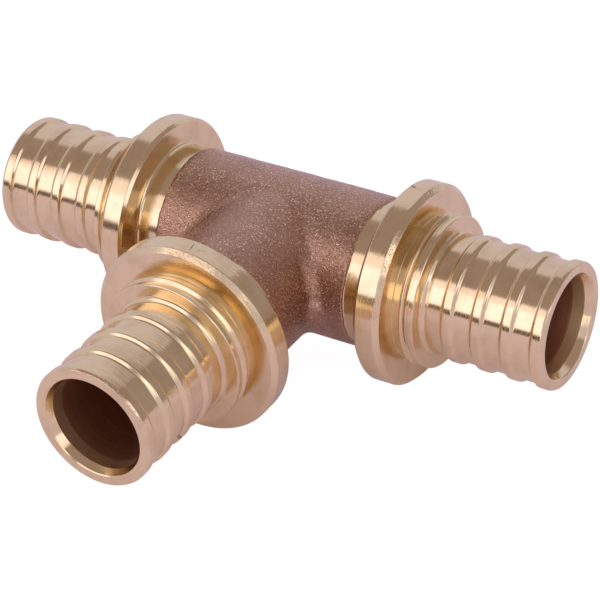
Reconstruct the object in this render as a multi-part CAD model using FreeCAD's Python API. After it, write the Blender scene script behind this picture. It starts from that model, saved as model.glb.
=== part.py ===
import FreeCAD, Part
import math
import os

from FreeCAD import Vector

# A tee for plastic pipe: one casting with three machined outlets that carry ribbed spigots.
# The run lies along X, the branch points along -Y and Z is up.
# The origin is the point where the axes of the run and the branch cross. Sizes are in millimetres.

# Cast middle
RUN_SKIN_DIAMETER = 25.5
BRANCH_SKIN_INSET = 0.25
CROTCH_RADIUS = 2.5

# From the crossing to the face of each flange that looks at the cast middle
RUN_FLANGE_DISTANCE = 22.45
BRANCH_FLANGE_DISTANCE = 26.6

# Machined hub between the cast skin and the flange
HUB_DIAMETER = 24.8
HUB_LENGTH = 4.2
HUB_FILLET = 0.7
SKIN_EDGE = 0.1

# Flange that the closing tool grips
FLANGE_DIAMETER = 34.0
FLANGE_THICKNESS = 4.55
FLANGE_HUB_CHAMFER = 0.55
FLANGE_TIP_CHAMFER = 0.8

# Neck and round groove between the flange and the collar
NECK_DIAMETER = 23.8
NECK_LENGTH = 1.1
GROOVE_WIDTH = 1.95
GROOVE_DEPTH = 0.55

# Collar that stops the pipe
COLLAR_DIAMETER = 25.6
COLLAR_WIDTH = 1.05
COLLAR_EDGE = 0.15
COLLAR_FOOT = 0.2

# Ribbed spigot
RIB_COUNT = 4
RIB_PITCH = 5.2
RIB_LAND = 1.35
RIB_FLANK = 0.45
RIB_DIAMETER = 21.24
ROOT_DIAMETER = 20.2
TIP_CHAMFER_LENGTH = 0.4
TIP_CHAMFER_DEPTH = 0.22

# Waterway, with a conical mouth at each tip
BORE_DIAMETER = 16.0
MOUTH_DIAMETER = 17.8
MOUTH_DEPTH = 3.4
MOUTH_EDGE = 0.15

# How far one solid runs into another before they are fused or cut
OVERLAP = 1.0

RUN_SKIN_RADIUS = RUN_SKIN_DIAMETER / 2
BRANCH_SKIN_RADIUS = RUN_SKIN_RADIUS - BRANCH_SKIN_INSET
BORE_RADIUS = BORE_DIAMETER / 2
MOUTH_RADIUS = MOUTH_DIAMETER / 2
SPIGOT_LENGTH = COLLAR_FOOT + RIB_FLANK + RIB_COUNT * RIB_PITCH
COLLAR_END = NECK_LENGTH + GROOVE_WIDTH + COLLAR_WIDTH
OUTLET_LENGTH = FLANGE_THICKNESS + COLLAR_END + SPIGOT_LENGTH

X_AXIS = Vector(1, 0, 0)
Z_AXIS = Vector(0, 0, 1)
BRANCH_AXIS = Vector(0, -1, 0)
CENTRE = Vector(0, 0, 0)
QUARTER_ARC_MIDDLE = 1 - math.sqrt(0.5)
EDGE_TOLERANCE = 1e-3
SAMPLES = 9


class Profile:
    """A chain of edges in the half plane of the axial place x and the radius r."""

    def __init__(self, x, r):
        self.here = Vector(x, r, 0)
        self.edges = []

    def line_to(self, x, r):
        there = Vector(x, r, 0)
        self.edges.append(Part.LineSegment(self.here, there).toShape())
        self.here = there

    def arc_to(self, middle_x, middle_r, x, r):
        there = Vector(x, r, 0)
        middle = Vector(middle_x, middle_r, 0)
        self.edges.append(Part.Arc(self.here, middle, there).toShape())
        self.here = there

    def revolve(self):
        face = Part.Face(Part.Wire(self.edges))
        return face.revolve(CENTRE, X_AXIS, 360)


def draw_flange(profile):
    """From the hub, over the rim, to the neck; x is 0 at the face that looks at the cast middle."""
    hub = HUB_DIAMETER / 2
    rim = FLANGE_DIAMETER / 2
    neck = NECK_DIAMETER / 2
    bend = HUB_FILLET * QUARTER_ARC_MIDDLE
    profile.line_to(-HUB_FILLET, hub)
    profile.arc_to(-bend, hub + bend, 0, hub + HUB_FILLET)
    profile.line_to(0, rim - FLANGE_HUB_CHAMFER)
    profile.line_to(FLANGE_HUB_CHAMFER, rim)
    profile.line_to(FLANGE_THICKNESS - FLANGE_TIP_CHAMFER, rim)
    profile.line_to(FLANGE_THICKNESS, rim - FLANGE_TIP_CHAMFER)
    profile.line_to(FLANGE_THICKNESS, neck)


def draw_collar(profile):
    """Neck, round groove and collar, down to the foot that the spigot starts from."""
    neck = NECK_DIAMETER / 2
    collar = COLLAR_DIAMETER / 2
    groove_start = FLANGE_THICKNESS + NECK_LENGTH
    groove_end = groove_start + GROOVE_WIDTH
    collar_end = groove_end + COLLAR_WIDTH
    profile.line_to(groove_start, neck)
    profile.arc_to((groove_start + groove_end) / 2, neck - GROOVE_DEPTH, groove_end, collar)
    profile.line_to(collar_end - COLLAR_EDGE, collar)
    profile.line_to(collar_end, collar - COLLAR_EDGE)
    profile.line_to(collar_end, RIB_DIAMETER / 2)
    profile.line_to(collar_end + COLLAR_FOOT, RIB_DIAMETER / 2)
    profile.line_to(collar_end + COLLAR_FOOT + RIB_FLANK, ROOT_DIAMETER / 2)


def draw_ribs(profile):
    """Low ribs with slanted flanks; the last rib ends in the tip's chamfer instead."""
    land = RIB_DIAMETER / 2
    root = ROOT_DIAMETER / 2
    for rib in range(1, RIB_COUNT + 1):
        rib_end = OUTLET_LENGTH - (RIB_COUNT - rib) * RIB_PITCH
        land_start = rib_end - RIB_FLANK - RIB_LAND
        profile.line_to(land_start - RIB_FLANK, root)
        profile.line_to(land_start, land)
        if rib < RIB_COUNT:
            profile.line_to(rib_end - RIB_FLANK, land)
            profile.line_to(rib_end, root)
    profile.line_to(OUTLET_LENGTH - TIP_CHAMFER_LENGTH, land)
    profile.line_to(OUTLET_LENGTH, land - TIP_CHAMFER_DEPTH)


def make_outlet():
    """The turned outlet along +X without its bore; x is 0 at the flange's inner face."""
    start = -HUB_LENGTH - OVERLAP
    profile = Profile(start, 0)
    profile.line_to(start, HUB_DIAMETER / 2)
    draw_flange(profile)
    draw_collar(profile)
    draw_ribs(profile)
    profile.line_to(OUTLET_LENGTH, 0)
    profile.line_to(start, 0)
    return profile.revolve()


def make_mouth():
    """The cutter for one mouth: a cone and a broken edge; x is 0 at the tip's face."""
    profile = Profile(-MOUTH_DEPTH, 0)
    profile.line_to(-MOUTH_DEPTH, BORE_RADIUS)
    profile.line_to(-MOUTH_EDGE, MOUTH_RADIUS - MOUTH_EDGE)
    profile.line_to(0, MOUTH_RADIUS)
    profile.line_to(OVERLAP, MOUTH_RADIUS)
    profile.line_to(OVERLAP, 0)
    profile.line_to(-MOUTH_DEPTH, 0)
    return profile.revolve()


def make_cast_middle():
    """Two cylinders with a rolled blend in the crotch and a small edge at each machined hub."""
    run_end = RUN_FLANGE_DISTANCE - HUB_LENGTH
    branch_end = BRANCH_FLANGE_DISTANCE - HUB_LENGTH
    run = Part.makeCylinder(RUN_SKIN_RADIUS, 2 * run_end, Vector(-run_end, 0, 0), X_AXIS)
    branch = Part.makeCylinder(BRANCH_SKIN_RADIUS, branch_end, CENTRE, BRANCH_AXIS)
    middle = run.fuse(branch)
    seams = [edge for edge in middle.Edges if is_seam(edge)]
    middle = middle.makeFillet(CROTCH_RADIUS, seams)
    ends = [edge for edge in middle.Edges if is_end_circle(edge, run_end, branch_end)]
    return middle.makeChamfer(SKIN_EDGE, ends)


def is_seam(edge):
    """True for the curve where the branch's skin leaves the run's skin."""
    points = edge.discretize(SAMPLES)
    on_run = all(abs(math.hypot(p.y, p.z) - RUN_SKIN_RADIUS) < EDGE_TOLERANCE for p in points)
    on_branch = all(abs(math.hypot(p.x, p.z) - BRANCH_SKIN_RADIUS) < EDGE_TOLERANCE for p in points)
    return on_run and on_branch


def is_end_circle(edge, run_end, branch_end):
    """True for the circles where the cast skin stops at the three hubs."""
    points = edge.discretize(SAMPLES)
    at_run_end = all(abs(abs(p.x) - run_end) < EDGE_TOLERANCE for p in points)
    at_branch_end = all(abs(p.y + branch_end) < EDGE_TOLERANCE for p in points)
    return at_run_end or at_branch_end


def outlet_places():
    """The turn about Z and the flange's distance of the three outlets."""
    return [
        (0, RUN_FLANGE_DISTANCE),
        (180, RUN_FLANGE_DISTANCE),
        (-90, BRANCH_FLANGE_DISTANCE),
    ]


def place(shape, turn, distance):
    """A copy of a shape made along +X, moved out along X and turned about Z."""
    copy = shape.copy()
    copy.translate(Vector(distance, 0, 0))
    copy.rotate(CENTRE, Z_AXIS, turn)
    return copy


def make_waterway():
    """The cutter for the three bores, which meet at the crossing, and their mouths."""
    mouth = make_mouth()
    cutters = []
    for turn, distance in outlet_places():
        tip = distance + OUTLET_LENGTH
        bore = Part.makeCylinder(BORE_RADIUS, tip + OVERLAP, CENTRE, X_AXIS)
        cutters.append(place(bore, turn, 0))
        cutters.append(place(mouth, turn, tip))
    return cutters[0].fuse(cutters[1:])


def make_tee():
    outlet = make_outlet()
    outlets = [place(outlet, turn, distance) for turn, distance in outlet_places()]
    solid = make_cast_middle().fuse(outlets)
    return solid.cut(make_waterway()).removeSplitter()


os.makedirs("parts", exist_ok=True)
tee = make_tee()
if len(tee.Solids) != 1 or not tee.isValid():
    raise ValueError("the tee is not one valid solid")
tee.Solids[0].exportStep("parts/tee_body.step")
print("volume mm3", round(tee.Volume), "faces", len(tee.Faces))
print("tip from the crossing: run", RUN_FLANGE_DISTANCE + OUTLET_LENGTH,
      "branch", BRANCH_FLANGE_DISTANCE + OUTLET_LENGTH)
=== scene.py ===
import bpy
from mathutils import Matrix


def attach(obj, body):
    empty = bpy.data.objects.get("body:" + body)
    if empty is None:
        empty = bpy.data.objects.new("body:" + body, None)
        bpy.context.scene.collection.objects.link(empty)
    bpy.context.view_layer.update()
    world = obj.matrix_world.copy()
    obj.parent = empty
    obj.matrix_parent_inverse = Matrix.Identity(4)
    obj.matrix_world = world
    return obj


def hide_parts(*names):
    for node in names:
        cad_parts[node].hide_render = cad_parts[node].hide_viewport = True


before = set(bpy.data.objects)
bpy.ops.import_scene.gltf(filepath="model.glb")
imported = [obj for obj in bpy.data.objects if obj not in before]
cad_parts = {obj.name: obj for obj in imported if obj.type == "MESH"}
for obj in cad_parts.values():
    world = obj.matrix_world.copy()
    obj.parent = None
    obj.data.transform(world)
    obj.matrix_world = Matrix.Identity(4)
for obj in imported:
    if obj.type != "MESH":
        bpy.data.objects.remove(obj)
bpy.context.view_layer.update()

import math

import bmesh
import bpy
from mathutils import Vector, noise

# Sizes are in millimetres until they go into a mesh, which is in metres.
MM = 0.001

# The cast middle
RUN_SKIN = 12.75
BRANCH_SKIN = 12.5
CROTCH = 2.5
SKIN_END_STEP = 0.1

# Where the flange's inner face lies on each outlet, and the hub that leads to it
RUN_FLANGE = 22.45
BRANCH_FLANGE = 26.6
HUB_LENGTH = 4.2
HUB = 12.4

# The turned outlet's radii and lengths
FLANGE = 17.0
FLANGE_THICKNESS = 4.55
INNER_CHAMFER = 0.55
OUTER_CHAMFER = 0.8
HUB_FILLET = 0.7
HUB_FILLET_MIDDLE = 0.205
NECK = 12.1
RIDGE = 12.95
RIDGE_STATION = 1.85
RIDGE_HALF_WIDTH = 0.6
RIDGE_FOOT_STEP = 0.1
COLLAR = 12.8
COLLAR_STATION = 3.05
COLLAR_WIDTH = 1.05
COLLAR_EDGE = 0.15
COLLAR_FOOT = 0.2
RIB = 10.62
ROOT = 10.1
RIB_COUNT = 4
RIB_PITCH = 5.2
RIB_LAND = 1.35
RIB_FLANK = 0.45
OUTLET_LENGTH = 30.1
TIP_CHAMFER_LENGTH = 0.4
TIP_CHAMFER_DEPTH = 0.22

# The waterway: each mouth has a steep bright lip and then a flatter stretch down to the bore
BORE = 8.0
MOUTH = 8.9
MOUTH_DEPTH = 3.4
MOUTH_EDGE = 0.15
LIP = 8.19
LIP_DEPTH = 1.35

# How finely the forms are divided
STEPS_ROUND = 132
CHAMFER_REACH = 1.3
SKIN_STEPS = 44
BORE_STEPS = 12
FILLET_STEPS = 4
WELD_DISTANCE = 0.002
THIN_EDGE = 0.001

# How the cast skin runs out over the hubs: waves round the axis, and their reach along it
RAGGED_SEEDS = {"right": 3.1, "left": 11.7, "branch": 23.5}
SLOW_WAVES, SLOW_REACH = 1.6, 0.28
QUICK_WAVES, QUICK_REACH = 11, 0.16

# The sand's unevenness: how dense its noise is, and its height
LUMP_DENSITY, LUMP_HEIGHT = 0.22, 0.07
GRAIN_DENSITY, GRAIN_HEIGHT = 1.1, 0.045
GRAIN_SHIFT = (7, 3, 5)

OUTLETS = [("right", 0.0, RUN_FLANGE), ("left", 180.0, RUN_FLANGE), ("branch", -90.0, BRANCH_FLANGE)]
SECTION_FLANGE, SECTION_RIB, SECTION_TIP = 0, 1, 2
TURNED, CAST, BORED, REAMED = 0, 1, 2, 3


# The outlet's section

def soften(corners, support=0.12):
    """Points (station, radius, edge) of a section whose inner corners are rounded.

    A corner is (station, radius, rounding, edge); the first and the last stay as they are.
    Each rounding has a support point on both sides, so that flats shade flat."""
    points = [(corners[0][0], corners[0][1], corners[0][3])]
    for before, corner, after in zip(corners, corners[1:], corners[2:]):
        here = Vector(corner[:2])
        back, ahead = Vector(before[:2]) - here, Vector(after[:2]) - here
        turn = math.pi - back.angle(ahead)
        reach = min(corner[2] * math.tan(turn / 2), 0.42 * back.length, 0.42 * ahead.length)
        start, end = here + back.normalized() * reach, here + ahead.normalized() * reach
        middle = (start + end) / 4 + here / 2
        for room, side, bend in ((back, start, -1), (ahead, end, 1)):
            far = here + room.normalized() * (reach + support)
            chain = [far, side] if room.length > 2 * (reach + support) else [side]
            if bend > 0:
                points.append((*middle, corner[3]))
                chain.reverse()
            beside = (before if bend < 0 else after)[3]
            shared = min(corner[3], beside) if room.length < CHAMFER_REACH else 0.0
            points += [(*p, corner[3] if p is side else shared) for p in chain]
    points.append((corners[-1][0], corners[-1][1], corners[-1][3]))
    return points


def arc(start, middle, end, steps):
    """Inner points of the arc through three points of the section."""
    (ax, ay), (bx, by), (cx, cy) = start, middle, end
    d = 2 * (ax * (by - cy) + bx * (cy - ay) + cx * (ay - by))
    ux = ((ax**2 + ay**2) * (by - cy) + (bx**2 + by**2) * (cy - ay) + (cx**2 + cy**2) * (ay - by)) / d
    uy = ((ax**2 + ay**2) * (cx - bx) + (bx**2 + by**2) * (ax - cx) + (cx**2 + cy**2) * (bx - ax)) / d
    radius = math.hypot(ax - ux, ay - uy)
    a0, a1 = math.atan2(ay - uy, ax - ux), math.atan2(cy - uy, cx - ux)
    if a1 < a0:
        a1 += 2 * math.pi
    angles = [a0 + (a1 - a0) * k / steps for k in range(1, steps)]
    return [(ux + radius * math.cos(a), uy + radius * math.sin(a)) for a in angles]


def flange_section():
    """From the hub over the flange, the neck, the ridge and the collar to the first root."""
    rim, thick = FLANGE, FLANGE_THICKNESS
    ridge = thick + RIDGE_STATION
    collar = thick + COLLAR_STATION
    shoulder = collar + COLLAR_WIDTH
    foot = shoulder + COLLAR_FOOT
    ridge_foot = NECK + RIDGE_FOOT_STEP
    bend = [(-HUB_FILLET, HUB), (-HUB_FILLET_MIDDLE, HUB + HUB_FILLET_MIDDLE), (0, HUB + HUB_FILLET)]
    corners = [(-HUB_LENGTH, HUB, 0, 0), (-HUB_LENGTH + 0.3, HUB, 0, 0), (-HUB_FILLET, HUB, 0.1, 0)]
    corners += [(x, r, 0.4, 0) for x, r in arc(*bend, FILLET_STEPS)]
    corners += [(0, HUB + HUB_FILLET, 0.1, 0), (0, rim - INNER_CHAMFER, 0.1, 0.4)]
    corners += [(INNER_CHAMFER, rim, 0.12, 0.6), (thick - OUTER_CHAMFER, rim, 0.1, 1)]
    corners += [(thick, rim - OUTER_CHAMFER, 0.1, 0.8), (thick, NECK, 0.06, 0)]
    corners += [(ridge - RIDGE_HALF_WIDTH, NECK, 0.2, 0), (ridge, RIDGE, 0.1, 0.2)]
    corners += [(ridge + RIDGE_HALF_WIDTH, ridge_foot, 0.08, 0), (collar, ridge_foot, 0.06, 0)]
    corners += [(collar, COLLAR, 0.08, 0.3), (shoulder - COLLAR_EDGE, COLLAR, 0.1, 0.4)]
    corners += [(shoulder, COLLAR - COLLAR_EDGE, 0.1, 0.4), (shoulder, RIB, 0.15, 0)]
    corners += [(foot, RIB, 0.15, 0), (foot + RIB_FLANK, ROOT, 0.25, 0)]
    corners += [(foot + 1.0, ROOT, 0, 0)]
    return soften(corners)[:-1]


def rib_corners(end):
    """One rib whose foot ends at the station end."""
    land = end - RIB_FLANK - RIB_LAND
    return [(land - RIB_FLANK, ROOT, 0.3, 0), (land, RIB, 0.22, 0.2),
            (end - RIB_FLANK, RIB, 0.22, 0.2), (end, ROOT, 0.3, 0)]


def rib_section():
    """The first rib; the tree repeats it along the spigot."""
    end = OUTLET_LENGTH - (RIB_COUNT - 1) * RIB_PITCH
    lead = [(end - 3.0, ROOT, 0, 0)]
    return soften(lead + rib_corners(end) + [(end + 1.0, ROOT, 0, 0)])[1:-1]


def tip_section():
    """The last rib, which ends in the tip's chamfer, and the mouth's lip and flatter stretch."""
    end = OUTLET_LENGTH
    corners = [(end - 3.0, ROOT, 0, 0)] + rib_corners(end)[:2]
    corners += [(end - TIP_CHAMFER_LENGTH, RIB, 0.12, 0.7), (end, RIB - TIP_CHAMFER_DEPTH, 0.12, 0.8)]
    corners += [(end, MOUTH, 0.08, 0.5), (end - MOUTH_EDGE, MOUTH - MOUTH_EDGE, 0.1, 0.4)]
    corners += [(end - LIP_DEPTH, LIP, 0.1, 0)]
    corners += [(end - MOUTH_DEPTH + 0.3, BORE + 0.03, 0.1, 0)]
    corners += [(end - MOUTH_DEPTH, BORE, 0, 0)]
    return soften(corners)[1:]


def section_points():
    """One object whose points carry the three sections in order."""
    mesh = bpy.data.meshes.new("outlet_section")
    rows = []
    for number, section in enumerate((flange_section(), rib_section(), tip_section())):
        rows += [(point, number) for point in section]
    mesh.from_pydata([(p[0] * MM, p[1] * MM, 0) for p, _ in rows], [], [])
    edge = mesh.attributes.new("edge", "FLOAT", "POINT")
    part = mesh.attributes.new("section", "INT", "POINT")
    edge.data.foreach_set("value", [p[2] for p, _ in rows])
    part.data.foreach_set("value", [number for _, number in rows])
    return bpy.data.objects.new("outlet_section", mesh)


# The tree that turns the section into an outlet

class Tree:
    """Adds and joins nodes of one node tree."""

    def __init__(self, tree):
        self.tree = tree

    def add(self, kind, inputs=(), **settings):
        node = self.tree.nodes.new(kind)
        for name, value in settings.items():
            setattr(node, name, value)
        for key, value in dict(inputs).items():
            self.feed(node, key, value)
        return node

    def feed(self, node, key, value):
        if isinstance(value, bpy.types.NodeSocket):
            self.tree.links.new(value, node.inputs[key])
        elif isinstance(value, bpy.types.Node):
            self.tree.links.new(value.outputs[0], node.inputs[key])
        else:
            node.inputs[key].default_value = value

    def math(self, operation, *values):
        return self.add("ShaderNodeMath", dict(enumerate(values)), operation=operation)

    def input(self, name, kind, value=None, low=None, high=None):
        socket = self.tree.interface.new_socket(name, in_out="INPUT", socket_type=kind)
        if value is not None:
            socket.default_value = value
        if low is not None:
            socket.min_value = low
        if high is not None:
            socket.max_value = high
        return socket

    def output(self, name, kind):
        return self.tree.interface.new_socket(name, in_out="OUTPUT", socket_type=kind)


def outlet_tree():
    """Repeats the rib, joins the sections, turns them round the axis and puts the outlet in place."""
    t = Tree(bpy.data.node_groups.new("turned outlet", "GeometryNodeTree"))
    t.output("Geometry", "NodeSocketGeometry")
    t.input("Section", "NodeSocketGeometry")
    t.input("Rib Count", "NodeSocketInt", RIB_COUNT, 2, 12)
    t.input("Rib Pitch", "NodeSocketFloat", RIB_PITCH * MM, 0.0)
    t.input("Steps Round", "NodeSocketInt", STEPS_ROUND, 12, 720)
    t.input("Flange Distance", "NodeSocketFloat", RUN_FLANGE * MM, 0.0)
    t.input("Turn", "NodeSocketFloat", 0.0)
    t.input("Metal", "NodeSocketMaterial")
    given = t.add("NodeGroupInput")
    part = t.add("GeometryNodeInputNamedAttribute", {"Name": "section"}, data_type="INT")
    sections = []
    for number in (SECTION_FLANGE, SECTION_RIB, SECTION_TIP):
        same = t.add("FunctionNodeCompare", {2: part.outputs[0], 3: number}, data_type="INT",
                     operation="EQUAL")
        sections.append(t.add("GeometryNodeSeparateGeometry",
                              {"Geometry": given.outputs["Section"], "Selection": same}, domain="POINT"))
    step = t.add("ShaderNodeCombineXYZ", {"X": given.outputs["Rib Pitch"]})
    between = t.math("SUBTRACT", given.outputs["Rib Count"], 1)
    places = t.add("GeometryNodeMeshLine", {"Count": between, "Offset": step}, mode="OFFSET")
    ribs = t.add("GeometryNodeInstanceOnPoints", {"Points": places, "Instance": sections[1].outputs[0]})
    ribs = t.add("GeometryNodeRealizeInstances", {"Geometry": ribs})
    whole = t.add("GeometryNodeJoinGeometry")
    for section in (sections[2].outputs[0], ribs.outputs[0], sections[0].outputs[0]):
        t.tree.links.new(section, whole.inputs[0])
    count = t.add("GeometryNodeAttributeDomainSize", {"Geometry": whole}, component="MESH")
    last = t.math("SUBTRACT", count.outputs["Point Count"], 1)
    columns = t.math("ADD", given.outputs["Steps Round"], 1)
    grid = t.add("GeometryNodeMeshGrid", {"Size X": 1.0, "Size Y": 1.0,
                                          "Vertices X": count.outputs["Point Count"],
                                          "Vertices Y": columns})
    cell = t.add("ShaderNodeSeparateXYZ", {0: t.add("GeometryNodeInputPosition")})
    along = t.math("ADD", cell.outputs["X"], 0.5)
    index = t.math("ROUND", t.math("MULTIPLY", along, last))
    round_share = t.math("ADD", cell.outputs["Y"], 0.5)
    angle = t.math("MULTIPLY", round_share, 2 * math.pi)
    point = t.add("GeometryNodeSampleIndex", {"Geometry": whole, "Value": t.add("GeometryNodeInputPosition"),
                                              "Index": index}, data_type="FLOAT_VECTOR")
    worn = t.add("GeometryNodeInputNamedAttribute", {"Name": "edge"}, data_type="FLOAT")
    worn = t.add("GeometryNodeSampleIndex", {"Geometry": whole, "Value": worn.outputs[0], "Index": index},
                 data_type="FLOAT")
    place = t.add("ShaderNodeSeparateXYZ", {0: point})
    turned = t.add("ShaderNodeCombineXYZ", {
        "X": place.outputs["X"],
        "Y": t.math("MULTIPLY", place.outputs["Y"], t.math("COSINE", angle)),
        "Z": t.math("MULTIPLY", place.outputs["Y"], t.math("SINE", angle))})
    body = t.add("GeometryNodeStoreNamedAttribute", {"Geometry": grid, "Name": "edge", "Value": worn},
                 data_type="FLOAT", domain="POINT")
    body = t.add("GeometryNodeSetPosition", {"Geometry": body, "Position": turned})
    body = t.add("GeometryNodeMergeByDistance", {"Geometry": body, "Distance": THIN_EDGE * MM})
    out = t.add("ShaderNodeCombineXYZ", {"X": given.outputs["Flange Distance"]})
    body = t.add("GeometryNodeTransform", {"Geometry": body, "Translation": out})
    spin = t.add("ShaderNodeCombineXYZ", {"Z": given.outputs["Turn"]})
    body = t.add("GeometryNodeTransform", {"Geometry": body, "Rotation": spin})
    body = t.add("GeometryNodeRealizeInstances", {"Geometry": body})
    body = t.add("GeometryNodeSetMaterial", {"Geometry": body, "Material": given.outputs["Metal"]})
    t.add("NodeGroupOutput", {"Geometry": body})
    return t.tree


def turn_outlet(tree, section, turn, distance, metal):
    """The plain mesh of one outlet, from the tree."""
    holder = bpy.data.objects.new("outlet", section.data)
    bpy.context.scene.collection.objects.link(holder)
    modifier = holder.modifiers.new("turned", "NODES")
    modifier.node_group = tree
    values = {"Flange Distance": distance * MM, "Turn": math.radians(turn), "Metal": metal}
    for socket in tree.interface.items_tree:
        if socket.name in values:
            modifier[socket.identifier] = values[socket.name]
    view = bpy.context.evaluated_depsgraph_get()
    mesh = bpy.data.meshes.new_from_object(holder.evaluated_get(view))
    bpy.data.objects.remove(holder)
    return mesh


# The cast middle and the waterway: two round tubes that meet in a tee

def ragged(name, angle):
    """How far the cast skin runs out over the hub at one angle."""
    c, s, seed = math.cos(angle), math.sin(angle), RAGGED_SEEDS[name]
    slow = noise.noise(Vector((c * SLOW_WAVES, s * SLOW_WAVES, seed)))
    quick = noise.noise(Vector((c * QUICK_WAVES, s * QUICK_WAVES, seed)))
    return SLOW_REACH * slow + QUICK_REACH * quick


def blend_distance(p):
    """Signed distance to the cast skin, with the crotch rolled, and the way outwards."""
    run = Vector((0, p.y, p.z))
    branch = Vector((p.x, 0, p.z))
    d_run = run.length - RUN_SKIN
    n_run = run.normalized()
    if p.y > -0.01:
        return d_run, n_run
    d_branch = branch.length - BRANCH_SKIN
    n_branch = branch.normalized()
    c = n_run.dot(n_branch)
    square = 1 - c * c
    a, b = d_run - CROTCH, d_branch - CROTCH
    if square > 0.02:
        s, t = (b * c - a) / square, (a * c - b) / square
        if s > 0 and t > 0:
            v = n_run * s + n_branch * t
            return CROTCH - v.length, v.normalized()
    return (d_run, n_run) if d_run < d_branch else (d_branch, n_branch)


def onto_skin(p):
    """The nearest place on the smooth cast skin."""
    for _ in range(4):
        d, n = blend_distance(p)
        p = p - n * d
    return p


def tee_tube(mesh, radius, ends, steps, shape, material):
    """Adds a tee of three half tubes to a mesh; ends gives each tube's last ring at an angle."""
    for name, _, _ in OUTLETS:
        rings = []
        for j in range(STEPS_ROUND):
            angle = 2 * math.pi * j / STEPS_ROUND
            c, s = math.cos(angle), math.sin(angle)
            seam = radius * abs(c) if name == "branch" or c < 0 else 0.0
            if name == "left":
                seam = radius * abs(c) if c > 0 else 0.0
            end = ends(name, angle)
            line = []
            for k in range(steps + 1):
                along = end + (seam - end) * k / steps
                local = Vector((along, radius * c, radius * s))
                line.append(mesh.verts.new(shape(turned_to(name, local), name, angle, k) * MM))
            rings.append(line)
        for j in range(STEPS_ROUND):
            here, there = rings[j], rings[(j + 1) % STEPS_ROUND]
            for k in range(steps):
                face = mesh.faces.new((here[k], there[k], there[k + 1], here[k + 1]))
                face.material_index = material


def turned_to(name, p):
    """A point of an outlet made along +X, turned to where that outlet points."""
    if name == "left":
        return Vector((-p.x, -p.y, p.z))
    if name == "branch":
        return Vector((p.y, -p.x, p.z))
    return p


def skin_end(name, angle):
    """How far out the cast skin reaches on one outlet at one angle."""
    distance = BRANCH_FLANGE if name == "branch" else RUN_FLANGE
    return distance - HUB_LENGTH + ragged(name, angle)


def cast_lumps(p):
    """The sand's unevenness in millimetres."""
    lump = noise.noise(p * LUMP_DENSITY) * LUMP_HEIGHT
    grain = noise.noise(p * GRAIN_DENSITY + Vector(GRAIN_SHIFT)) * GRAIN_HEIGHT
    return lump + grain


def skin_shape(p, name, angle, k):
    """A point of the rough skin; its last two rings step down to the hub."""
    if k == 0:
        return turned_to(name, Vector((skin_end(name, angle), HUB * math.cos(angle), HUB * math.sin(angle))))
    p = onto_skin(p)
    if k == 1:
        edge = turned_to(name, Vector((skin_end(name, angle), 0, 0)))
        axis = turned_to(name, Vector((1, 0, 0)))
        out = p - axis * p.dot(axis)
        return edge + out - out.normalized() * SKIN_END_STEP
    _, n = blend_distance(p)
    return p + n * cast_lumps(p)


def behind_lip(p):
    """True for a place on the rougher stretch of a mouth, between its bright lip and the bore."""
    for name, _, distance in OUTLETS:
        axis = turned_to(name, Vector((1, 0, 0)))
        along = p.dot(axis)
        depth = distance + OUTLET_LENGTH - along
        if LIP_DEPTH < depth < MOUTH_DEPTH + 0.1 and (p - axis * along).length < MOUTH - 0.02:
            return True
    return False


def build_tee(metals):
    """One closed mesh: the turned outlets, the cast skin and the waterway."""
    tree, section = outlet_tree(), section_points()
    mesh = bmesh.new()
    for name, turn, distance in OUTLETS:
        made = turn_outlet(tree, section, turn, distance, metals[TURNED])
        part = bmesh.new()
        part.from_mesh(made)
        axis = turned_to(name, Vector((1, 0, 0)))
        start = (distance - HUB_LENGTH) * MM
        for v in part.verts:
            if abs(v.co.dot(axis) - start) < 1e-6 and (v.co - axis * start).length < (HUB + 0.01) * MM:
                local = v.co
                side = turned_to(name, Vector((0, 1, 0)))
                angle = math.atan2(local.z, local.dot(side))
                v.co += axis * ragged(name, angle) * MM
        part.to_mesh(made)
        part.free()
        mesh.from_mesh(made)
        bpy.data.meshes.remove(made)
    for face in mesh.faces:
        face.material_index = REAMED if behind_lip(face.calc_center_median() / MM) else TURNED
    tee_tube(mesh, RUN_SKIN, skin_end, SKIN_STEPS, skin_shape, CAST)
    bore_end = {"right": RUN_FLANGE, "left": RUN_FLANGE, "branch": BRANCH_FLANGE}
    tee_tube(mesh, BORE, lambda name, angle: bore_end[name] + OUTLET_LENGTH - MOUTH_DEPTH, BORE_STEPS,
             lambda p, name, angle, k: p, BORED)
    bmesh.ops.remove_doubles(mesh, verts=mesh.verts[:], dist=WELD_DISTANCE * MM)
    bmesh.ops.dissolve_degenerate(mesh, edges=mesh.edges[:], dist=THIN_EDGE * MM)
    bmesh.ops.recalc_face_normals(mesh, faces=mesh.faces[:])
    for face in mesh.faces:
        face.smooth = True
    data = bpy.data.meshes.new("tee")
    open_edges = sum(1 for e in mesh.edges if not e.is_manifold)
    print("tee faces", len(mesh.faces), "edges that are not closed", open_edges,
          "volume mm3", round(mesh.calc_volume(signed=True) / MM**3))
    for metal in metals:
        data.materials.append(metal)
    mesh.to_mesh(data)
    mesh.free()
    tee = bpy.data.objects.new("tee", data)
    bpy.context.scene.collection.objects.link(tee)
    return tee


# Finishes

# Sockets of a colour mix
COLOUR_A, COLOUR_B, COLOUR_OUT = 6, 7, 2

# From here out the run is turned, so that its rings follow X
RUN_TURNED_FROM = 18.1
# How much the radius moves a ring, so that faces across the axis show rings too
RING_SLANT = 1.37

# Specks show where the noise passes a limit, which falls as the strength grows
SPECK_LIMIT = 0.78
SPECK_GAIN = 0.28
SPECK_SOFTNESS = 0.08

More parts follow.
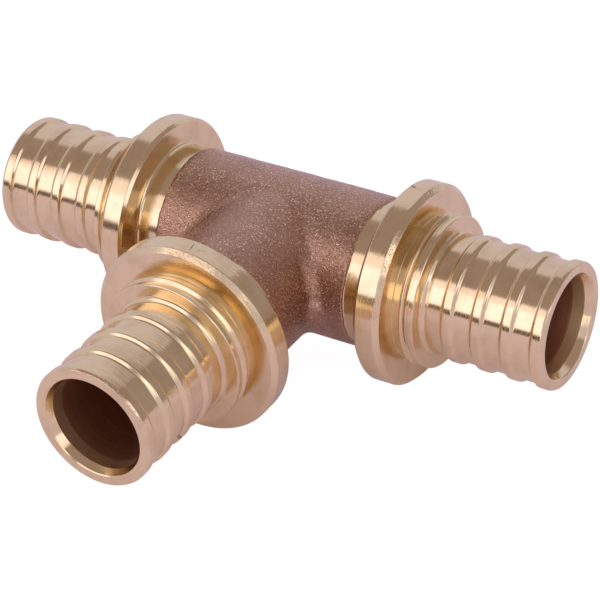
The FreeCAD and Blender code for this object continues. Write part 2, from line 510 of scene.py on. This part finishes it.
# Single marks that the photograph shows: start, end and width
DENTS = [
    ((1.5, -29.4, 16.9), (1.3, -28.0, 17.0), 0.11),
    ((23.1, 2.5, 16.8), (23.8, 2.2, 16.9), 0.3),
    ((26.05, -15.55, 6.7), (26.2, -15.7, 6.2), 0.18),
    ((8.5, -46.2, -5.8), (8.4, -45.9, -6.4), 0.4),
    ((-50.8, -10.0, 3.7), (-50.8, -10.2, 3.0), 0.16),
]
BURRS = [
    ((7.9, -28.4, 15.1), (9.7, -28.5, 14.0), 0.18),
    ((2.7, -28.9, 16.8), (4.1, -28.4, 16.5), 0.2),
]
RUBBED = [((12.9, -13.9, 0.5), (14.6, -12.8, -0.4), 1.3)]


def turning_marks():
    """Group: fine rings left by the lathe, as a height and a mask, from a place along the axis."""
    t = Tree(bpy.data.node_groups.new("turning marks", "ShaderNodeTree"))
    t.input("Position", "NodeSocketVector")
    t.input("Fineness", "NodeSocketFloat", 9000.0)
    t.output("Height", "NodeSocketFloat")
    t.output("Lines", "NodeSocketFloat")
    given = t.add("NodeGroupInput")
    where = t.add("ShaderNodeSeparateXYZ", {0: given.outputs["Position"]})
    on_run = t.math("GREATER_THAN", t.math("ABSOLUTE", where.outputs["X"]), RUN_TURNED_FROM * MM)
    along = t.add("ShaderNodeMix", {"Factor": on_run, "A": where.outputs["Y"], "B": where.outputs["X"]},
                  data_type="FLOAT")
    off_x = t.math("MULTIPLY", where.outputs["X"], t.math("SUBTRACT", 1.0, on_run))
    off_y = t.math("MULTIPLY", where.outputs["Y"], on_run)
    flat = t.add("ShaderNodeCombineXYZ", {"X": off_x, "Y": off_y, "Z": where.outputs["Z"]})
    radius = t.add("ShaderNodeVectorMath", {0: flat}, operation="LENGTH")
    ring = t.math("ADD", along.outputs["Result"], t.math("MULTIPLY", radius.outputs["Value"], RING_SLANT))
    fine = t.add("ShaderNodeTexNoise", {"W": t.math("MULTIPLY", ring, given.outputs["Fineness"]),
                                        "Scale": 1.0, "Detail": 2.0, "Roughness": 0.6},
                 noise_dimensions="1D")
    lines = t.add("ShaderNodeMapRange", {"Value": fine.outputs["Fac"], "From Min": 0.35, "From Max": 0.65})
    t.add("NodeGroupOutput", {"Height": fine.outputs["Fac"], "Lines": lines.outputs["Result"]})
    return t.tree


def handling_marks():
    """Group: small pits and rubbed specks, as a mask, where a strength lets them show."""
    t = Tree(bpy.data.node_groups.new("handling marks", "ShaderNodeTree"))
    t.input("Position", "NodeSocketVector")
    t.input("Scale", "NodeSocketFloat", 2200.0)
    t.input("Strength", "NodeSocketFloat", 0.5)
    t.input("Evenness", "NodeSocketFloat", 0.0)
    t.output("Mask", "NodeSocketFloat")
    given = t.add("NodeGroupInput")
    spots = t.add("ShaderNodeTexNoise", {"Vector": given.outputs["Position"], "Scale": given.outputs["Scale"],
                                         "Detail": 3.0, "Roughness": 0.65})
    low = t.math("SUBTRACT", SPECK_LIMIT, t.math("MULTIPLY", given.outputs["Strength"], SPECK_GAIN))
    mask = t.add("ShaderNodeMapRange", {"Value": spots.outputs["Fac"], "From Min": low,
                                        "From Max": t.math("ADD", low, SPECK_SOFTNESS)})
    patch = t.add("ShaderNodeTexNoise", {"Vector": given.outputs["Position"], "Scale": 170.0, "Detail": 2.0})
    patch = t.add("ShaderNodeMapRange", {"Value": patch.outputs["Fac"], "From Min": 0.4, "From Max": 0.6,
                                         "To Min": given.outputs["Evenness"]})
    mask = t.math("MULTIPLY", mask.outputs["Result"], patch.outputs["Result"])
    t.add("NodeGroupOutput", {"Mask": mask})
    return t.tree


def single_mark():
    """Group: the mask of one nick or scratch between two places."""
    t = Tree(bpy.data.node_groups.new("single mark", "ShaderNodeTree"))
    for name in ("Position", "Start", "End"):
        t.input(name, "NodeSocketVector")
    t.input("Width", "NodeSocketFloat", 0.0002)
    t.output("Mask", "NodeSocketFloat")
    given = t.add("NodeGroupInput")
    away = t.add("ShaderNodeVectorMath", {0: given.outputs["Position"], 1: given.outputs["Start"]},
                 operation="SUBTRACT")
    length = t.add("ShaderNodeVectorMath", {0: given.outputs["End"], 1: given.outputs["Start"]},
                   operation="SUBTRACT")
    across = t.add("ShaderNodeVectorMath", {0: away, 1: length}, operation="DOT_PRODUCT")
    square = t.add("ShaderNodeVectorMath", {0: length, 1: length}, operation="DOT_PRODUCT")
    share = t.add("ShaderNodeMath", {0: across.outputs["Value"], 1: square.outputs["Value"]},
                  operation="DIVIDE", use_clamp=True)
    near = t.add("ShaderNodeVectorMath", {0: length, "Scale": share}, operation="SCALE")
    off = t.add("ShaderNodeVectorMath", {0: away, 1: near}, operation="DISTANCE")
    rough = t.add("ShaderNodeTexNoise", {"Vector": given.outputs["Position"], "Scale": 5200.0})
    edge = t.math("MULTIPLY", given.outputs["Width"], t.math("ADD", rough.outputs["Fac"], 0.5))
    mask = t.add("ShaderNodeMapRange", {"Value": off.outputs["Value"], "From Max": edge, "To Min": 1.0,
                                        "To Max": 0.0}, interpolation_type="SMOOTHSTEP")
    t.feed(mask, "From Min", t.math("MULTIPLY", edge, 0.4))
    t.add("NodeGroupOutput", {"Mask": mask.outputs["Result"]})
    return t.tree


def marks_mask(t, group, place, listed):
    """The strongest of several single marks; each is (start, end, width) in millimetres."""
    total = None
    for start, end, width in listed:
        one = t.add("ShaderNodeGroup", node_tree=group)
        t.feed(one, "Position", place)
        one.inputs["Start"].default_value = [c * MM for c in start]
        one.inputs["End"].default_value = [c * MM for c in end]
        one.inputs["Width"].default_value = width * MM
        total = one.outputs[0] if total is None else t.math("MAXIMUM", total, one.outputs[0]).outputs[0]
    return total


def new_metal(name):
    """A material with one metal shader, and its node writer."""
    material = bpy.data.materials.new(name)
    material.use_nodes = True
    t = Tree(material.node_tree)
    shader = material.node_tree.nodes["Principled BSDF"]
    shader.inputs["Metallic"].default_value = 1.0
    return material, t, shader


def position(t):
    """The place on the object, in metres."""
    return t.add("ShaderNodeTexCoord").outputs["Object"]


def turned_metal(name, roughness, marks, wear, single):
    """Turned red brass; roughness is given between the lathe's rings and on them."""
    material, t, shader = new_metal(name)
    place = position(t)
    rings = t.add("ShaderNodeGroup", {}, node_tree=marks)
    t.feed(rings, "Position", place)
    rings.inputs["Fineness"].default_value = 5200.0
    edge = t.add("ShaderNodeAttribute", attribute_name="edge")
    worn = t.add("ShaderNodeGroup", {}, node_tree=wear)
    t.feed(worn, "Position", place)
    worn.inputs["Scale"].default_value = 3400.0
    t.feed(worn, "Strength", edge.outputs["Fac"])
    dents = marks_mask(t, single, place, DENTS)
    burrs = marks_mask(t, single, place, BURRS)
    cloud = t.add("ShaderNodeTexNoise", {"Vector": place, "Scale": 210.0, "Detail": 4.0, "Roughness": 0.6})
    uneven = t.add("ShaderNodeMapRange", {"Value": cloud.outputs["Fac"], "From Min": 0.35, "From Max": 0.55})
    tint = t.add("ShaderNodeMix", {"Factor": uneven.outputs["Result"]}, data_type="RGBA")
    t.feed(tint, COLOUR_A, (0.76, 0.59, 0.35, 1))
    t.feed(tint, COLOUR_B, (0.85, 0.675, 0.415, 1))
    dark = t.add("ShaderNodeMix", {"Factor": dents}, data_type="RGBA")
    t.feed(dark, COLOUR_A, tint.outputs[COLOUR_OUT])
    t.feed(dark, COLOUR_B, (0.40, 0.26, 0.18, 1))
    t.feed(shader, "Base Color", dark.outputs[COLOUR_OUT])
    rough = t.add("ShaderNodeMapRange", {"Value": rings.outputs["Lines"], "To Min": roughness[0],
                                         "To Max": roughness[1]})
    rougher = t.math("ADD", rough.outputs["Result"], t.math("MULTIPLY", worn.outputs["Mask"], 0.3))
    t.feed(shader, "Roughness", rougher)
    grooves = t.add("ShaderNodeBump", {"Height": rings.outputs["Height"], "Distance": 0.009 * MM,
                                       "Strength": 1.0})
    pits = t.add("ShaderNodeBump", {"Height": worn.outputs["Mask"], "Distance": 0.035 * MM, "Strength": 1.0,
                                    "Normal": grooves}, invert=True)
    depth = t.math("SUBTRACT", burrs, dents)
    local = t.add("ShaderNodeBump", {"Height": depth, "Distance": 0.1 * MM, "Normal": pits})
    t.feed(shader, "Normal", local)
    return material


def cast_metal(wear, single):
    """Rough brown cast skin with bright grains."""
    material, t, shader = new_metal("cast_skin")
    place = position(t)
    sand = t.add("ShaderNodeTexNoise", {"Vector": place, "Scale": 2700.0, "Detail": 3.0, "Roughness": 0.6})
    pits = t.add("ShaderNodeTexNoise", {"Vector": place, "Scale": 1200.0, "Detail": 3.0, "Roughness": 0.6})
    cloud = t.add("ShaderNodeTexNoise", {"Vector": place, "Scale": 260.0, "Detail": 4.0})
    shade = t.add("ShaderNodeMix", {"Factor": cloud.outputs["Fac"]}, data_type="RGBA")
    t.feed(shade, COLOUR_A, (0.35, 0.185, 0.112, 1))
    t.feed(shade, COLOUR_B, (0.61, 0.365, 0.24, 1))
    grains = t.add("ShaderNodeGroup", {}, node_tree=wear)
    t.feed(grains, "Position", place)
    grains.inputs["Scale"].default_value = 3300.0
    grains.inputs["Strength"].default_value = 0.88
    grains.inputs["Evenness"].default_value = 0.7
    rubbed = marks_mask(t, single, place, RUBBED)
    colour = t.add("ShaderNodeMix", {"Factor": grains.outputs["Mask"]}, data_type="RGBA")
    t.feed(colour, COLOUR_A, shade.outputs[COLOUR_OUT])
    t.feed(colour, COLOUR_B, (0.95, 0.72, 0.55, 1))
    t.feed(shader, "Base Color", colour.outputs[COLOUR_OUT])
    rough = t.add("ShaderNodeMapRange", {"Value": grains.outputs["Mask"], "To Min": 0.25, "To Max": 0.07})
    t.feed(shader, "Roughness", rough.outputs["Result"])
    height = t.math("ADD", sand.outputs["Fac"], t.math("MULTIPLY", pits.outputs["Fac"], 0.8))
    height = t.math("ADD", height, t.math("MULTIPLY", grains.outputs["Mask"], 0.8))
    bump = t.add("ShaderNodeBump", {"Height": height, "Distance": 0.11 * MM,
                                    "Strength": t.math("SUBTRACT", 1.0, t.math("MULTIPLY", rubbed, 0.75))})
    t.feed(shader, "Normal", bump)
    return material


def bored_metal(marks):
    """The dull wall of the waterway."""
    material, t, shader = new_metal("bored_brass")
    place = position(t)
    rings = t.add("ShaderNodeGroup", {}, node_tree=marks)
    t.feed(rings, "Position", place)
    rings.inputs["Fineness"].default_value = 3000.0
    colour = t.add("ShaderNodeMix", {"Factor": rings.outputs["Lines"]}, data_type="RGBA")
    t.feed(colour, COLOUR_A, (0.74, 0.43, 0.27, 1))
    t.feed(colour, COLOUR_B, (0.80, 0.51, 0.33, 1))
    t.feed(shader, "Base Color", colour.outputs[COLOUR_OUT])
    shader.inputs["Roughness"].default_value = 0.38
    bump = t.add("ShaderNodeBump", {"Height": rings.outputs["Height"], "Distance": 0.012 * MM})
    t.feed(shader, "Normal", bump)
    return material


# Studio

LAMP_TINT = (0.97, 0.88, 1.0)
ROOM_TINT = (0.88, 0.83, 1.0, 1)
TABLE_TINT = (1.0, 0.88, 0.97, 1)

# How much of what the metal sees of the floor is lit paper, which keeps shadows
LIT_SHARE = 0.85

# The camera that was fitted to the tee's outline in the photograph
CAMERA_PLACE = (179.083, -267.650, 207.918)
CAMERA_TURN = (55.345, 3.4934, 31.8633)
CAMERA_LENS = 136.3
CAMERA_SENSOR = 36.0
CAMERA_SHIFT = (0.0399, 0.0261)


def paper(name, seen, lit, reflected):
    """White paper: what the camera sees, how much shadow it keeps, and what the metal sees.

    From below the camera looks through it."""
    material = bpy.data.materials.new(name)
    material.use_nodes = True
    t = Tree(material.node_tree)
    nodes = material.node_tree.nodes
    nodes.remove(nodes["Principled BSDF"])
    path = t.add("ShaderNodeLightPath")
    white = t.add("ShaderNodeEmission", {"Color": (1, 1, 1, 1), "Strength": seen})
    soft = t.add("ShaderNodeBsdfDiffuse", {"Color": (0.9, 0.9, 0.9, 1)})
    both = t.add("ShaderNodeMixShader", {"Fac": lit, 1: white, 2: soft})
    lit_paper = t.add("ShaderNodeBsdfDiffuse", {"Color": [c * reflected for c in TABLE_TINT[:3]] + [1]})
    even_paper = t.add("ShaderNodeEmission", {"Color": TABLE_TINT, "Strength": reflected})
    plain = t.add("ShaderNodeMixShader", {"Fac": LIT_SHARE, 1: even_paper, 2: lit_paper})
    shown = t.add("ShaderNodeMixShader", {"Fac": path.outputs["Is Camera Ray"], 1: plain, 2: both})
    back = t.add("ShaderNodeNewGeometry").outputs["Backfacing"]
    from_below = t.math("MULTIPLY", path.outputs["Is Camera Ray"], back)
    clear = t.add("ShaderNodeBsdfTransparent")
    one_sided = t.add("ShaderNodeMixShader", {"Fac": from_below, 1: shown, 2: clear})
    t.feed(nodes["Material Output"], "Surface", one_sided)
    return material


def plane(name, centre, u, v, material):
    """A flat card with half sides u and v."""
    mesh = bpy.data.meshes.new(name)
    centre, u, v = Vector(centre), Vector(u), Vector(v)
    corners = [centre - u - v, centre + u - v, centre + u + v, centre - u + v]
    mesh.from_pydata([c * MM for c in corners], [], [(0, 1, 2, 3)])
    mesh.materials.append(material)
    card = bpy.data.objects.new(name, mesh)
    bpy.context.scene.collection.objects.link(card)
    return card


def reflector(name, centre, u, v, colour):
    """A card of one brightness that only shows in the metal."""
    material = bpy.data.materials.new(name)
    material.use_nodes = True
    t = Tree(material.node_tree)
    nodes = material.node_tree.nodes
    nodes.remove(nodes["Principled BSDF"])
    t.feed(nodes["Material Output"], "Surface", t.add("ShaderNodeEmission", {"Color": (*colour, 1)}))
    card = plane(name, centre, u, v, material)
    card.visible_camera = False
    card.visible_shadow = False
    card.visible_diffuse = False


def softbox(name, place, width, height, brightness):
    """A rectangular lamp that faces the tee; brightness 1 shows as white."""
    lamp = bpy.data.lights.new(name, "AREA")
    lamp.color = LAMP_TINT
    lamp.shape = "RECTANGLE"
    lamp.size, lamp.size_y = width * MM, height * MM
    lamp.energy = math.pi * brightness * lamp.size * lamp.size_y / 2
    holder = bpy.data.objects.new(name, lamp)
    place = Vector(place)
    holder.location = place * MM
    holder.rotation_euler = (-place).to_track_quat("-Z", "Y").to_euler()
    bpy.context.scene.collection.objects.link(holder)


def build_world(level):
    """A pale room round the tee; the camera sees plain white."""
    world = bpy.data.worlds.new("studio")
    bpy.context.scene.world = world
    world.use_nodes = True
    t = Tree(world.node_tree)
    nodes = world.node_tree.nodes
    path = t.add("ShaderNodeLightPath")
    room = nodes["Background"]
    room.inputs["Color"].default_value = ROOM_TINT
    room.inputs["Strength"].default_value = level
    white = t.add("ShaderNodeBackground", {"Color": (1, 1, 1, 1), "Strength": 1.0})
    both = t.add("ShaderNodeMixShader", {"Fac": path.outputs["Is Camera Ray"], 1: room.outputs[0],
                                         2: white.outputs[0]})
    t.feed(nodes["World Output"], "Surface", both)


def build_camera():
    """The photograph's viewpoint."""
    camera = bpy.data.cameras.new("camera")
    camera.sensor_width = CAMERA_SENSOR
    camera.lens = CAMERA_LENS
    camera.shift_x, camera.shift_y = CAMERA_SHIFT
    camera.clip_start = 0.01
    holder = bpy.data.objects.new("camera", camera)
    holder.location = Vector(CAMERA_PLACE) * MM
    holder.rotation_euler = [math.radians(a) for a in CAMERA_TURN]
    bpy.context.scene.collection.objects.link(holder)
    bpy.context.scene.camera = holder


def build_studio():
    """Camera, room, floor, two lamps and the cards that the metal reflects."""
    build_camera()
    build_world(0.76)
    floor = paper("floor_paper", 1.2, 0.2, 0.88)
    plane("floor", (0, 0, -FLANGE - 0.05), (1500, 0, 0), (0, 1500, 0), floor)
    softbox("front_left_box", (-272, -555, 348), 600, 530, 1.85)
    softbox("right_box", (560, -180, 300), 300, 300, 1.8)
    reflector("dark_ceiling", (180, -20, 620), (800, 260, 0), (0, 500, 0), (0.35, 0.28, 0.28))
    reflector("dark_side_wall", (700, 560, 440), (-300, 330, 0), (0, 0, 500), (0.37, 0.31, 0.33))
    reflector("dark_table_edge", (-300, -640, 44), (500, 0, 0), (0, 0, 46), (0.12, 0.08, 0.06))
    reflector("bright_front_card", (275, -645, 187), (118, 50, 0), (0, 0, 150), (1.7, 1.6, 1.6))
    reflector("dark_front_gap", (75, -696, 215), (62, 7, 0), (0, 0, 200), (0.2, 0.15, 0.13))


marks, wear, single = turning_marks(), handling_marks(), single_mark()
bright = turned_metal("turned_brass", (0.08, 0.18), marks, wear, single)
reamed = turned_metal("reamed_brass", (0.36, 0.46), marks, wear, single)
tee = build_tee([bright, cast_metal(wear, single), bored_metal(marks), reamed])
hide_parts("tee_body")
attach(tee, "root")
build_studio()
bpy.context.scene.view_settings.view_transform = "Standard"
